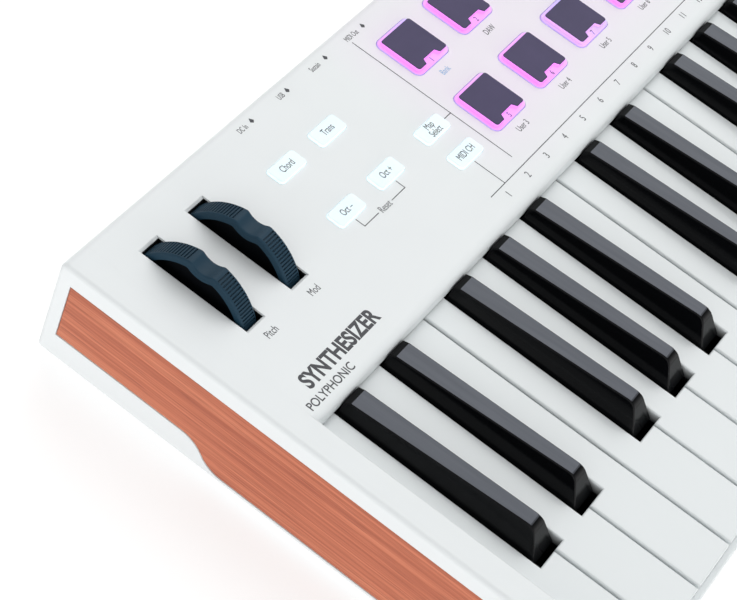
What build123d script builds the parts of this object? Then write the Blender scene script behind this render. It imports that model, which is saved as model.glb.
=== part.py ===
"""A 61-key synthesizer: housing, key bed, wheels, pads, buttons, encoders, faders and sockets.

The frame stands on the floor: +Z up, +X along the keyboard to the right, +Y from the player
to the back. The origin is under the middle of the housing. Millimetres.
"""
from build123d import *
import os
from math import radians, tan

os.makedirs("parts", exist_ok=True)

# ---- Keyboard -------------------------------------------------------------
WHITE_PITCH = 23.5
WHITE_KEYS = 36
KEYBOARD_WIDTH = WHITE_PITCH * WHITE_KEYS
KEY_GAP = 1.0
KEY_TOP = 38.0
KEY_BOTTOM = 20.0
KEY_WALL = 1.8
KEY_SKIN = 2.5
KEY_VISIBLE = 129.5
KEY_END = 156.0
TAIL_TOP = 34.0
TAIL_BOTTOM = 24.0
NOTCH_FRONT = 44.4
NOTCH_HALF = 7.28
PIVOT_BACK = 152.0
PIVOT_HEIGHT = 29.0
ROD_RADIUS = 1.5
ROD_FIT = 0.05
BLACK_HALF = 6.55
BLACK_FRONT = 46.8
BLACK_TOP_BACK = 125.0
BLACK_BACK = 127.4
BLACK_BACK_TOP = KEY_TOP + 4.8
BLACK_FRONT_TOP = KEY_TOP + 8.7
BLACK_SLANT = 17.5
BLACK_SHOULDER = KEY_TOP - 2.5
BLACK_TAIL_HALF = 4.5
# white letters that have a black key after them, with its shift from the gap between the whites
BLACK_SHIFT = {0: -2.14, 1: 2.14, 3: -3.06, 4: 0.0, 5: 3.06}

# ---- Housing --------------------------------------------------------------
CHEEK = 12.0
CASE_WIDTH = KEYBOARD_WIDTH + 2 * CHEEK
CASE_DEPTH = 228.4
CASE_BOTTOM = 3.0
PANEL_TOP = 48.0
SHELL = 2.5
PANEL_UNDER = PANEL_TOP - SHELL
KEY_FRONT_Y = -CASE_DEPTH / 2 + 3.0
PANEL_FRONT = 128.0
SKIRT_BOTTOM = KEY_TOP + 0.8
LIP_TOP = 24.0
LIP_THICKNESS = 2.6
SIDE_WALL = 7.2
CHEEK_WALL = 2.0
CHEEK_INNER = CASE_WIDTH / 2 - CHEEK + 0.6
WOOD_THICKNESS = 4.8
WOOD_GAP = 0.1
JOIN_GAP = 0.02

# ---- Panel controls: (distance from the keyboard's left end, distance behind the key fronts) ----
WHEEL_BACK = 188.2
WHEEL_HEIGHT = 34.0
WHEEL_RADIUS = 24.2
WHEEL_WIDTH = 7.8
WHEEL_SLOT = (10.0, 43.6)
PITCH_WHEEL_X = 16.0
MOD_WHEEL_X = 41.7
BUTTON_SIZE = (15.6, 7.5)
BUTTON_GAP = 0.2
BUTTON_TOP = PANEL_TOP + 0.9
LEFT_BUTTONS = {
    "chord_button": (80.0, 198.2),
    "transpose_button": (105.6, 198.2),
    "octave_down_button": (80.0, 172.0),
    "octave_up_button": (105.6, 172.0),
    "map_button": (137.0, 172.0),
    "channel_button": (137.0, 157.0),
}
TRANSPORT_BUTTONS = [(x, y) for x in (310, 334, 358, 382) for y in (198.2, 172.0, 157.0)]
SCREEN_BUTTONS = [(x, 149.0) for x in (427.5, 445.5, 463.5, 481.5)] + [(524.0, 204.0), (524.0, 149.0)]
PAD_X = (166.8, 199.4, 232.0, 264.6)
PAD_Y = (200.4, 164.6)
PAD_RIM = (22.4, 21.3)
PAD_TOP = (19.7, 18.4)
PAD_GAP = 0.25
ENCODER_X = [568.0 + 31.0 * i for i in range(9)]
ENCODER_Y = 203.0
FADER_Y = 163.0
FADER_TRAVEL = 30.0
MAIN_ENCODER = (524.0, 176.0)
SCREEN = (454.5, 184.0)
SCREEN_SIZE = (66.0, 50.0)

# ---- Inside ---------------------------------------------------------------
BOARD_TOP = 39.1
BOARD_THICKNESS = 1.6
PLATE_TOP = CASE_BOTTOM + SHELL
FRAME_BOTTOM = 6.0
FRAME_TOP = 8.0
SCREW_BACK = 107.5
BOSS_RADIUS = 3.4
SCREW_X = (-418.0, -220.0, -73.0, 73.0, 220.0, 410.0)
FRAME_SCREW_X = (-330.0, -110.0, 110.0, 330.0)
FRAME_SCREW_Y = -61.0
BOARD_SCREWS = [(130.0, 214.0), (295.0, 214.0), (295.0, 143.0), (405.0, 143.0), (505.0, 214.0),
                (545.0, 143.0), (826.0, 214.0), (826.0, 143.0)]
SCREW_RADIUS = 1.3
SCREW_HEAD_RADIUS = 2.8
SCREW_HEAD = 1.6
SCREW_LENGTH = 8.0
FOOT_RADIUS = 9.0
MAIN_BOARD_TOP = 10.6
JACK_HEIGHT = MAIN_BOARD_TOP + 6.5
DIN_HEIGHT = MAIN_BOARD_TOP + 9.0
USB_HEIGHT = MAIN_BOARD_TOP + 1.9
SOCKET_FACE = CASE_DEPTH / 2 - 0.2
POWER_X = 84.0
USB_X = 107.7
PEDAL_X = 129.7
DIN_X = 154.2
JACK_RADIUS = 3.25


def along(distance):
    """X of a point that is this far from the keyboard's left end."""
    return distance - KEYBOARD_WIDTH / 2


def back(distance):
    """Y of a point that is this far behind the front edge of the white keys."""
    return distance + KEY_FRONT_Y


def spot(place):
    """X and Y of a place on the panel."""
    return (along(place[0]), back(place[1]))


def box_between(x, y, z, mode=Mode.ADD):
    """A block between the two values given for each axis."""
    with Locations(((x[0] + x[1]) / 2, (y[0] + y[1]) / 2, (z[0] + z[1]) / 2)):
        Box(abs(x[1] - x[0]), abs(y[1] - y[0]), abs(z[1] - z[0]), mode=mode)


def upright(points, radius, z, mode=Mode.ADD):
    """Round bars along Z at some points, between two heights."""
    with Locations(*[(px, py, z[0]) for px, py in points]):
        Cylinder(radius, z[1] - z[0], align=(Align.CENTER, Align.CENTER, Align.MIN), mode=mode)


def finish(piece, name):
    piece.part.label = name
    export_step(piece.part, f"parts/{name}.step")


# ---- Housing --------------------------------------------------------------
LEFT = -CASE_WIDTH / 2
RIGHT = CASE_WIDTH / 2
FRONT = -CASE_DEPTH / 2
REAR = CASE_DEPTH / 2
PANEL_EDGE = back(PANEL_FRONT)
SKIRT_BACK = PANEL_EDGE + SHELL
WOOD_FRONT = back(0.5)
WOOD_REAR = back(219.5)
WOOD_TOP = KEY_TOP + 2.4
WOOD_LOW_FRONT = KEY_TOP - 32.5
WOOD_LOW_REAR = KEY_TOP - 23.5
WOOD_STEP = (back(146.6), back(166.0))


def side_face():
    """Side view of the housing, drawn in the current YZ sketch."""
    with BuildLine() as outline:
        Line((FRONT, CASE_BOTTOM + 2), (FRONT, PANEL_TOP - 6))
        RadiusArc((FRONT, PANEL_TOP - 6), (FRONT + 6, PANEL_TOP), 6)
        Line((FRONT + 6, PANEL_TOP), (REAR - 3, PANEL_TOP))
        RadiusArc((REAR - 3, PANEL_TOP), (REAR, PANEL_TOP - 3), 3)
        Line((REAR, PANEL_TOP - 3), (REAR, CASE_BOTTOM + 2))
        RadiusArc((REAR, CASE_BOTTOM + 2), (REAR - 2, CASE_BOTTOM), 2)
        Line((REAR - 2, CASE_BOTTOM), (FRONT + 2, CASE_BOTTOM))
        RadiusArc((FRONT + 2, CASE_BOTTOM), (FRONT, CASE_BOTTOM + 2), 2)
    make_face(outline.edges())


def wood_face(grow):
    """Outline of the wood side panel, drawn in the current YZ sketch, a little larger all round."""
    low_front = WOOD_LOW_FRONT - grow
    low_rear = WOOD_LOW_REAR - grow
    middle = ((WOOD_STEP[0] + WOOD_STEP[1]) / 2, (low_front + low_rear) / 2)
    with BuildLine() as outline:
        Polyline(
            (WOOD_STEP[1], low_rear), (WOOD_REAR + grow, low_rear), (WOOD_REAR + grow, WOOD_TOP + grow),
            (WOOD_FRONT - grow, WOOD_TOP + grow), (WOOD_FRONT - grow, low_front), (WOOD_STEP[0], low_front),
        )
        TangentArc((WOOD_STEP[0], low_front), middle, tangent=(1, 0))
        TangentArc((WOOD_STEP[1], low_rear), middle, tangent=(-1, 0))
    make_face(outline.edges())


with BuildPart() as cheek_left:
    with BuildSketch(Plane.YZ.offset(LEFT)):
        side_face()
    extrude(amount=RIGHT - CHEEK_INNER)
    fillet(cheek_left.faces().sort_by(Axis.X)[0].edges(), 1.8)
    inner = LEFT + SIDE_WALL
    box_between((inner, -CHEEK_INNER - CHEEK_WALL), (FRONT + LIP_THICKNESS, SKIRT_BACK),
                (CASE_BOTTOM, PANEL_UNDER), Mode.SUBTRACT)
    box_between((inner, -CHEEK_INNER), (FRONT + LIP_THICKNESS, SKIRT_BACK), (CASE_BOTTOM, 12),
                Mode.SUBTRACT)
    box_between((inner, -CHEEK_INNER), (SKIRT_BACK, REAR - SHELL), (CASE_BOTTOM, PANEL_UNDER),
                Mode.SUBTRACT)
    with BuildSketch(Plane.YZ.offset(LEFT)):
        wood_face(WOOD_GAP)
    extrude(amount=WOOD_THICKNESS + 0.2, mode=Mode.SUBTRACT)

# the panel with its rear wall and the skirt over the keys, between the two cheeks
PANEL_END = CHEEK_INNER - JOIN_GAP
with BuildPart() as upper_panel:
    with BuildSketch(Plane.YZ.offset(-PANEL_END)):
        with BuildLine():
            Polyline((PANEL_EDGE, SKIRT_BOTTOM), (PANEL_EDGE, PANEL_TOP - 4))
            RadiusArc((PANEL_EDGE, PANEL_TOP - 4), (PANEL_EDGE + 4, PANEL_TOP), 4)
            Line((PANEL_EDGE + 4, PANEL_TOP), (REAR - 3, PANEL_TOP))
            RadiusArc((REAR - 3, PANEL_TOP), (REAR, PANEL_TOP - 3), 3)
            Line((REAR, PANEL_TOP - 3), (REAR, CASE_BOTTOM + 2))
            RadiusArc((REAR, CASE_BOTTOM + 2), (REAR - 2, CASE_BOTTOM), 2)
            Polyline(
                (REAR - 2, CASE_BOTTOM), (REAR - SHELL, CASE_BOTTOM), (REAR - SHELL, PANEL_UNDER),
                (SKIRT_BACK, PANEL_UNDER), (SKIRT_BACK, SKIRT_BOTTOM), (PANEL_EDGE, SKIRT_BOTTOM),
            )
        make_face()
    extrude(amount=2 * PANEL_END)
    # wheel slots, with a bevel at each end
    for wheel_x in (PITCH_WHEEL_X, MOD_WHEEL_X):
        slot_y = back(WHEEL_BACK - 0.3)
        half_slot = WHEEL_SLOT[1] / 2
        with BuildSketch(Plane.YZ.offset(along(wheel_x) - WHEEL_SLOT[0] / 2)):
            with BuildLine():
                Polyline(
                    (slot_y - half_slot, PANEL_UNDER - 1), (slot_y - half_slot, PANEL_TOP - 1.2),
                    (slot_y - half_slot - 1.2, PANEL_TOP + 0.01),
                    (slot_y + half_slot + 1.2, PANEL_TOP + 0.01),
                    (slot_y + half_slot, PANEL_TOP - 1.2), (slot_y + half_slot, PANEL_UNDER - 1),
                    close=True,
                )
            make_face()
        extrude(amount=WHEEL_SLOT[0], mode=Mode.SUBTRACT)
    # button, pad and screen openings, encoder holes and fader slots
    with BuildSketch(Plane.XY.offset(PANEL_UNDER - 1)):
        with Locations(*[spot(p) for p in list(LEFT_BUTTONS.values()) + TRANSPORT_BUTTONS + SCREEN_BUTTONS]):
            RectangleRounded(BUTTON_SIZE[0] + 2 * BUTTON_GAP, BUTTON_SIZE[1] + 2 * BUTTON_GAP, 1.7)
        with Locations(*[spot((x, y)) for x in PAD_X for y in PAD_Y]):
            RectangleRounded(PAD_RIM[0] + 2 * PAD_GAP, PAD_RIM[1] + 2 * PAD_GAP, 3.2)
        with Locations(*[spot((x, ENCODER_Y)) for x in ENCODER_X], spot(MAIN_ENCODER)):
            Circle(3.7)
        with Locations(*[spot((x, FADER_Y)) for x in ENCODER_X]):
            Rectangle(2.2, FADER_TRAVEL + 6)
        with Locations(spot(SCREEN)):
            Rectangle(SCREEN_SIZE[0] - 5, SCREEN_SIZE[1] - 5)
    extrude(amount=SHELL + 2, mode=Mode.SUBTRACT)
    with BuildSketch(Plane.XY.offset(PANEL_TOP - 1.3)):
        with Locations(spot(SCREEN)):
            RectangleRounded(SCREEN_SIZE[0] + 0.2, SCREEN_SIZE[1] + 0.2, 2.1)
    extrude(amount=2, mode=Mode.SUBTRACT)
    # socket openings in the rear wall
    with BuildSketch(Plane.XZ.offset(-REAR - 1)):
        with Locations((along(POWER_X), MAIN_BOARD_TOP + 5.5)):
            Circle(4.3)
        with Locations((along(USB_X), USB_HEIGHT)):
            RectangleRounded(9.6, 3.9, 1.9)
        with Locations((along(PEDAL_X), JACK_HEIGHT)):
            Circle(4.9)
        with Locations((along(DIN_X), DIN_HEIGHT)):
            Circle(8.3)
    extrude(amount=SHELL + 2, mode=Mode.SUBTRACT)
    # screw bosses for the bottom plate and for the control board
    upright([(x, SCREW_BACK) for x in SCREW_X], BOSS_RADIUS, (PLATE_TOP, PANEL_UNDER))
    upright([(x, SCREW_BACK) for x in SCREW_X], SCREW_RADIUS, (PLATE_TOP, PLATE_TOP + 12), Mode.SUBTRACT)
    upright([spot(p) for p in BOARD_SCREWS], 3.0, (BOARD_TOP, PANEL_UNDER))
    upright([spot(p) for p in BOARD_SCREWS], SCREW_RADIUS, (BOARD_TOP, BOARD_TOP + 6.4), Mode.SUBTRACT)

# front lip under the white keys
with BuildPart() as front_lip:
    with BuildSketch(Plane.YZ.offset(-PANEL_END)):
        with BuildLine():
            Line((FRONT, LIP_TOP - 1), (FRONT, CASE_BOTTOM + 2))
            RadiusArc((FRONT, CASE_BOTTOM + 2), (FRONT + 2, CASE_BOTTOM), -2)
            Polyline((FRONT + 2, CASE_BOTTOM), (FRONT + LIP_THICKNESS, CASE_BOTTOM),
                     (FRONT + LIP_THICKNESS, LIP_TOP), (FRONT + 1, LIP_TOP))
            RadiusArc((FRONT + 1, LIP_TOP), (FRONT, LIP_TOP - 1), -1)
        make_face()
    extrude(amount=2 * PANEL_END)

# the housing: four mouldings joined flush with hairline seams
with BuildPart() as top_case:
    add(cheek_left.part)
    mirror(about=Plane.YZ)
    add(upper_panel.part)
    add(front_lip.part)
finish(top_case, "top_case")

with BuildPart() as bottom_plate:
    box_between((LEFT + SIDE_WALL + 0.2, RIGHT - SIDE_WALL - 0.2),
                (FRONT + LIP_THICKNESS + 0.2, REAR - SHELL - 0.2), (CASE_BOTTOM, PLATE_TOP))
    fillet(bottom_plate.edges().filter_by(Axis.Z), 1.0)
    frame_screws = [(x, FRAME_SCREW_Y) for x in FRAME_SCREW_X]
    upright([(x, SCREW_BACK) for x in SCREW_X] + frame_screws, 1.6, (CASE_BOTTOM, PLATE_TOP),
            Mode.SUBTRACT)
    # posts under the main board
    upright([spot((x, y)) for x in (74, 194) for y in (172, 205)], 3, (PLATE_TOP, MAIN_BOARD_TOP - 1.6))
    # air slots
    with GridLocations(9, 300, 12, 1):
        Box(2.2, 26, 20, mode=Mode.SUBTRACT)
finish(bottom_plate, "bottom_plate")

with BuildPart() as left_wood:
    with BuildSketch(Plane.YZ.offset(LEFT + 0.15)):
        wood_face(0)
    extrude(amount=WOOD_THICKNESS)
    chamfer(left_wood.faces().sort_by(Axis.X)[0].edges(), 0.3)

with BuildPart() as wood_side_panels:
    add(left_wood.part)
    mirror(about=Plane.YZ)
finish(wood_side_panels, "wood_side_panels")

with BuildPart() as rubber_feet:
    with Locations(*[(x, y, 0) for x in (-390, 0, 390) for y in (-88, 88)]):
        Cone(FOOT_RADIUS - 0.6, FOOT_RADIUS, CASE_BOTTOM, align=(Align.CENTER, Align.CENTER, Align.MIN))
finish(rubber_feet, "rubber_feet")

with BuildPart() as case_screws:
    plate_screws = [(x, SCREW_BACK) for x in SCREW_X] + frame_screws
    upright(plate_screws, SCREW_HEAD_RADIUS, (CASE_BOTTOM - SCREW_HEAD, CASE_BOTTOM))
    upright(plate_screws, SCREW_RADIUS, (CASE_BOTTOM, CASE_BOTTOM + SCREW_LENGTH))
    with Locations(*[(x, y, CASE_BOTTOM - SCREW_HEAD) for x, y in plate_screws]):
        Box(3.0, 0.6, 1.6, mode=Mode.SUBTRACT)
        Box(0.6, 3.0, 1.6, mode=Mode.SUBTRACT)
    board_bottom = BOARD_TOP - BOARD_THICKNESS
    board_screws = [spot(p) for p in BOARD_SCREWS]
    upright(board_screws, SCREW_HEAD_RADIUS, (board_bottom - SCREW_HEAD, board_bottom))
    upright(board_screws, SCREW_RADIUS, (board_bottom, board_bottom + 7))
finish(case_screws, "case_screws")


# ---- Keys -----------------------------------------------------------------
def black_after(index):
    """Distance from the left end to the middle of the black key after this white key, or None."""
    shift = BLACK_SHIFT.get(index % 7)
    if shift is None or index >= WHITE_KEYS - 1 or index < 0:
        return None
    return (index + 1) * WHITE_PITCH + shift


def white_outline(index):
    """Corners of a white key seen from above, and the middle of its tail."""
    left = index * WHITE_PITCH + KEY_GAP / 2
    right = (index + 1) * WHITE_PITCH - KEY_GAP / 2
    before = black_after(index - 1)
    after = black_after(index)
    tail_left = before + NOTCH_HALF if before else left
    tail_right = after - NOTCH_HALF if after else right
    corners = [(left, 0), (right, 0)]
    if after:
        corners += [(right, NOTCH_FRONT), (tail_right, NOTCH_FRONT)]
    corners += [(tail_right, KEY_END), (tail_left, KEY_END)]
    if before:
        corners += [(tail_left, NOTCH_FRONT), (left, NOTCH_FRONT)]
    return [spot(c) for c in corners], along((tail_left + tail_right) / 2)


def trim_tail():
    """Cuts a key down to its low tail behind the panel edge, in the current part."""
    wide = KEYBOARD_WIDTH
    box_between((-wide, wide), (back(KEY_VISIBLE), back(KEY_END + 1)), (TAIL_TOP, 60), Mode.SUBTRACT)
    box_between((-wide, wide), (back(KEY_VISIBLE - 4), back(KEY_END + 1)), (10, TAIL_BOTTOM), Mode.SUBTRACT)


def rod_hole(radius):
    """Bores the current part along the key pivot rod."""
    with Locations(Location((0, back(PIVOT_BACK), PIVOT_HEIGHT), (0, 90, 0))):
        Cylinder(radius, CASE_WIDTH, mode=Mode.SUBTRACT)


def white_key(index):
    corners, tail_middle = white_outline(index)
    with BuildPart() as key:
        with BuildSketch(Plane.XY.offset(KEY_BOTTOM)):
            with BuildLine():
                Polyline(*corners, close=True)
            make_face()
        extrude(amount=KEY_TOP - KEY_BOTTOM)
        upper = key.faces().sort_by(Axis.Z)[-1].edges()
        fillet(upper.filter_by(lambda e: e.center().Y < back(KEY_END) - 1), 0.7)
        trim_tail()
        with BuildSketch(Plane.XY.offset(KEY_BOTTOM)) as hollow:
            with BuildLine():
                Polyline(*corners, close=True)
            make_face()
            offset(amount=-KEY_WALL, kind=Kind.INTERSECTION, mode=Mode.REPLACE)
        extrude(amount=TAIL_TOP - KEY_SKIN - KEY_BOTTOM, mode=Mode.SUBTRACT)
        with BuildSketch(Plane.XY.offset(KEY_BOTTOM)) as front_hollow:
            add(hollow.sketch_local)
            with Locations((along(0), back(KEY_VISIBLE - KEY_WALL + 100))):
                Rectangle(3 * CASE_WIDTH, 200, mode=Mode.SUBTRACT)
        extrude(amount=KEY_TOP - KEY_SKIN - KEY_BOTTOM, mode=Mode.SUBTRACT)
        # plunger over the rubber contact
        box_between((tail_middle - 4, tail_middle + 4), (back(78), back(82)), (KEY_BOTTOM, KEY_TOP - 1))
        rod_hole(ROD_RADIUS + ROD_FIT)
    return key.part


def black_key(index):
    middle = along(black_after(index))
    slant = tan(radians(BLACK_SLANT))
    rise = 60 - BLACK_SHOULDER
    with BuildPart() as key:
        with BuildSketch(Plane.YZ.offset(middle - BLACK_HALF)) as profile:
            with BuildLine():
                Polyline(
                    (back(BLACK_FRONT), KEY_BOTTOM), (back(BLACK_FRONT), BLACK_SHOULDER),
                    (back(BLACK_FRONT + 6.6), BLACK_FRONT_TOP + 0.2),
                    (back(BLACK_TOP_BACK), BLACK_BACK_TOP), (back(BLACK_BACK), BLACK_BACK_TOP - 1.2),
                    (back(BLACK_BACK), TAIL_TOP), (back(KEY_END), TAIL_TOP),
                    (back(KEY_END), TAIL_BOTTOM), (back(BLACK_BACK), TAIL_BOTTOM),
                    (back(BLACK_BACK), KEY_BOTTOM), close=True,
                )
            make_face()
            fillet(profile.vertices().sort_by(Axis.Y)[-1], 4.5)
        extrude(amount=2 * BLACK_HALF)
        # sloping sides above the shoulder
        for side in (-1, 1):
            with BuildSketch(Plane.XZ.offset(-back(0))):
                with BuildLine():
                    Polyline(
                        (middle + side * BLACK_HALF, BLACK_SHOULDER),
                        (middle + side * (BLACK_HALF - rise * slant), 60),
                        (middle + side * (BLACK_HALF + 5), 60),
                        (middle + side * (BLACK_HALF + 5), BLACK_SHOULDER), close=True,
                    )
                make_face()
            extrude(amount=-200, mode=Mode.SUBTRACT)
        tops = key.faces().filter_by(lambda f: f.normal_at().Z > 0.6 and f.center().Z > KEY_TOP)
        rims = [e for f in tops for e in f.edges() if abs(e.tangent_at(0.5).Y) > 0.5]
        fillet(list(dict.fromkeys(rims)), 0.6)
        # narrow tail between the white tails
        for side in (-1, 1):
            box_between((middle + side * BLACK_TAIL_HALF, middle + side * (BLACK_HALF + 1)),
                        (back(BLACK_BACK), back(KEY_END + 1)), (10, 60), Mode.SUBTRACT)
        box_between((middle - BLACK_HALF + KEY_WALL, middle + BLACK_HALF - KEY_WALL),
                    (back(BLACK_FRONT + KEY_WALL), back(BLACK_BACK - KEY_WALL)),
                    (KEY_BOTTOM, BLACK_SHOULDER - KEY_WALL), Mode.SUBTRACT)
        box_between((middle - 4, middle + 4), (back(78), back(82)), (KEY_BOTTOM, BLACK_SHOULDER))
        rod_hole(ROD_RADIUS + ROD_FIT)
    return key.part


def keep(shape, name):
    with BuildPart() as key:
        add(shape)
    finish(key, name)


KEY_NAMES = ["key_c", "key_d", "key_e", "key_f", "key_g", "key_a", "key_b"]
for number, key_name in enumerate(KEY_NAMES):
    keep(white_key(number), key_name)
    if black_after(number):
        keep(black_key(number), key_name + "_sharp")

octave_whites = [white_key(index) for index in range(7, 14)]
octave_blacks = [black_key(index) for index in range(7, 14) if black_after(index)]
OCTAVE = 7 * WHITE_PITCH
with BuildPart() as upper_white_keys:
    with Locations(*[(OCTAVE * n, 0, 0) for n in range(4)]):
        add(octave_whites)
    add(white_key(WHITE_KEYS - 1))
finish(upper_white_keys, "upper_white_keys")

with BuildPart() as upper_black_keys:
    with Locations(*[(OCTAVE * n, 0, 0) for n in range(4)]):
        add(octave_blacks)
finish(upper_black_keys, "upper_black_keys")

# ---- Key bed --------------------------------------------------------------
black_middles = [along(black_after(i)) for i in range(WHITE_KEYS) if black_after(i)]
key_middles = black_middles + [white_outline(i)[1] for i in range(WHITE_KEYS)]

with BuildPart() as keybed_frame:
    box_between((-CHEEK_INNER + 0.4, CHEEK_INNER - 0.4), (back(4), back(160)), (FRAME_BOTTOM, FRAME_TOP))
    upright([(x, y) for x in (-400, -110, 110, 400) for y in (-95, 40)], 4, (PLATE_TOP, FRAME_BOTTOM))
    upright(frame_screws, 3.5, (PLATE_TOP, 12))
    upright(frame_screws, SCREW_RADIUS, (PLATE_TOP, 12), Mode.SUBTRACT)
    # stiffening edge at the back, ribs for the contact board
    box_between((-CHEEK_INNER + 0.4, CHEEK_INNER - 0.4), (back(158), back(160)), (FRAME_TOP, 22))
    for rib in (68, 92):
        box_between((-420, 420), (back(rib), back(rib + 2)), (FRAME_TOP, 10))
    # posts that carry the rod on both sides of each black key
    for middle in black_middles:
        for side in (-1, 1):
            box_between((middle + side * 5.2, middle + side * 6.6), (back(147), back(158)), (FRAME_TOP, 33))
    # guides inside the keys
    for index in range(WHITE_KEYS):
        guide = along((index + 0.5) * WHITE_PITCH)
        box_between((guide - 9.1, guide + 9.1), (back(22), back(25)), (FRAME_TOP, 25))
    for middle in black_middles:
        box_between((middle - 4.4, middle + 4.4), (back(58), back(60)), (FRAME_TOP, 24))
    rod_hole(ROD_RADIUS)
finish(keybed_frame, "keybed_frame")

with BuildPart() as key_pivot_rod:
    with Locations(Location((0, back(PIVOT_BACK), PIVOT_HEIGHT), (0, 90, 0))):
        Cylinder(ROD_RADIUS, 2 * CHEEK_INNER - 1)
finish(key_pivot_rod, "key_pivot_rod")

with BuildPart() as key_felt:
    box_between((-420, 420), (back(8), back(16)), (FRAME_TOP, 10))
finish(key_felt, "key_felt")

with BuildPart() as key_contact_board:
    box_between((-420, 420), (back(66), back(96)), (10, 11.6))
finish(key_contact_board, "key_contact_board")

with BuildPart() as key_contact_rubber:
    box_between((-419, 419), (back(70), back(90)), (11.6, 12.4))
    with Locations(*[(x, back(80), 12.4) for x in key_middles]):
        Cone(4.4, 2.6, 2.2, align=(Align.CENTER, Align.CENTER, Align.MIN))
finish(key_contact_rubber, "key_contact_rubber")


# ---- Wheels ---------------------------------------------------------------
RIB_DEPTH = 0.5
RIB_STEP = 2.9
RIB_WIDTH = 0.55
RIBS = 16
FIRST_RIB = 15.6
RIM = 2.6
WEB_RECESS = 2.8
DIMPLE_RADIUS = 6.6
DIMPLE_DEPTH = 2.1


def make_wheel(distance, name):
    middle = along(distance)
    half = WHEEL_WIDTH / 2
    axle = Location((middle, back(WHEEL_BACK), WHEEL_HEIGHT), (0, 90, 0))
    with BuildPart() as wheel:
        with Locations(axle):
            Cylinder(WHEEL_RADIUS, WHEEL_WIDTH)
        # finger dimple at the top
        dimple_height = WHEEL_HEIGHT + WHEEL_RADIUS + DIMPLE_RADIUS - DIMPLE_DEPTH
        with Locations(Location((middle, back(WHEEL_BACK), dimple_height), (0, 90, 0))):
            Cylinder(DIMPLE_RADIUS, WHEEL_WIDTH + 1, mode=Mode.SUBTRACT)
        lips = wheel.edges().filter_by(GeomType.LINE).filter_by(Axis.X)
        fillet([e for e in lips if e.center().Z > WHEEL_HEIGHT + 20], 2.0)
        fillet(wheel.faces().sort_by(Axis.X)[0].edges(), 0.8)
        fillet(wheel.faces().sort_by(Axis.X)[-1].edges(), 0.8)
        # hollow webs on both sides, inside a rim that follows the dimple
        for side in (-1, 1):
            with BuildSketch(Plane.YZ.offset(middle + side * half)) as web:
                with Locations((back(WHEEL_BACK), WHEEL_HEIGHT)):
                    Circle(WHEEL_RADIUS - RIM)
                with Locations((back(WHEEL_BACK), dimple_height)):
                    Circle(DIMPLE_RADIUS + RIM, mode=Mode.SUBTRACT)
                fillet(web.vertices(), 2.0)
            extrude(amount=-side * WEB_RECESS, mode=Mode.SUBTRACT)
        # grip ribs, front and back of the dimple
        for turn in range(RIBS):
            for side in (-1, 1):
                angle = side * (FIRST_RIB + RIB_STEP * turn)
                with Locations(Location((middle, back(WHEEL_BACK), WHEEL_HEIGHT), (angle, 0, 0))):
                    with Locations((0, 0, WHEEL_RADIUS)):
                        Box(WHEEL_WIDTH - 1.8, RIB_WIDTH, 2 * RIB_DEPTH, mode=Mode.SUBTRACT)
        with Locations(axle):
            Cylinder(6.0, 10.2)
        with Locations(Location((middle + 1.6, back(WHEEL_BACK), WHEEL_HEIGHT), (0, 90, 0))):
            Cylinder(3.0, 19.0)
    finish(wheel, name)


make_wheel(PITCH_WHEEL_X, "pitch_wheel")
make_wheel(MOD_WHEEL_X, "mod_wheel")

with BuildPart() as wheel_brackets:
    for wheel_x in (PITCH_WHEEL_X, MOD_WHEEL_X):
        for side in (-1, 1):
            box_between((along(wheel_x + side * 5.4), along(wheel_x + side * 7.4)),
                        (back(WHEEL_BACK - 12), back(WHEEL_BACK + 12)), (6.5, PANEL_UNDER))
        box_between((along(wheel_x - 7.4), along(wheel_x + 7.4)),
                    (back(WHEEL_BACK - 12), back(WHEEL_BACK + 12)), (6.5, 8.5))
        with Locations(Location((along(wheel_x), back(WHEEL_BACK), WHEEL_HEIGHT), (0, 90, 0))):
            Cylinder(3.05, 20, mode=Mode.SUBTRACT)
finish(wheel_brackets, "wheel_brackets")

with BuildPart() as wheel_sensors:
    for wheel_x in (PITCH_WHEEL_X, MOD_WHEEL_X):
        with Locations(Location((along(wheel_x) + 10.4, back(WHEEL_BACK), WHEEL_HEIGHT), (0, 90, 0))):
            Cylinder(8.0, 6.0)
            Cylinder(3.05, 6.0, mode=Mode.SUBTRACT)
finish(wheel_sensors, "wheel_sensors")


# ---- Buttons and pads -----------------------------------------------------
def button_caps(places):
    """Rounded caps with a wider flange under the panel, in the current part."""
    with BuildSketch(Plane.XY.offset(PANEL_UNDER - 1.2)) as caps:
        with Locations(*[spot(p) for p in places]):
            RectangleRounded(*BUTTON_SIZE, 1.5)
    extrude(caps.sketch, amount=BUTTON_TOP - PANEL_UNDER + 1.2)
    fillet(top_edges_above(BUTTON_TOP - 0.01), 0.5)
    with BuildSketch(Plane.XY.offset(PANEL_UNDER - 2.4)) as flanges:
        with Locations(*[spot(p) for p in places]):
            Rectangle(BUTTON_SIZE[0] + 1.8, BUTTON_SIZE[1] + 2.6)
    extrude(flanges.sketch, amount=1.2)


def top_edges_above(height):
    """Edges of the current part that lie above a height."""
    part = BuildPart._get_context().part
    return [e for e in part.edges() if e.bounding_box().min.Z > height]


for button_name, button_place in LEFT_BUTTONS.items():
    with BuildPart() as button:
        button_caps([button_place])
    finish(button, button_name)

with BuildPart() as centre_buttons:
    button_caps(TRANSPORT_BUTTONS + SCREEN_BUTTONS)
finish(centre_buttons, "centre_buttons")


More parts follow.
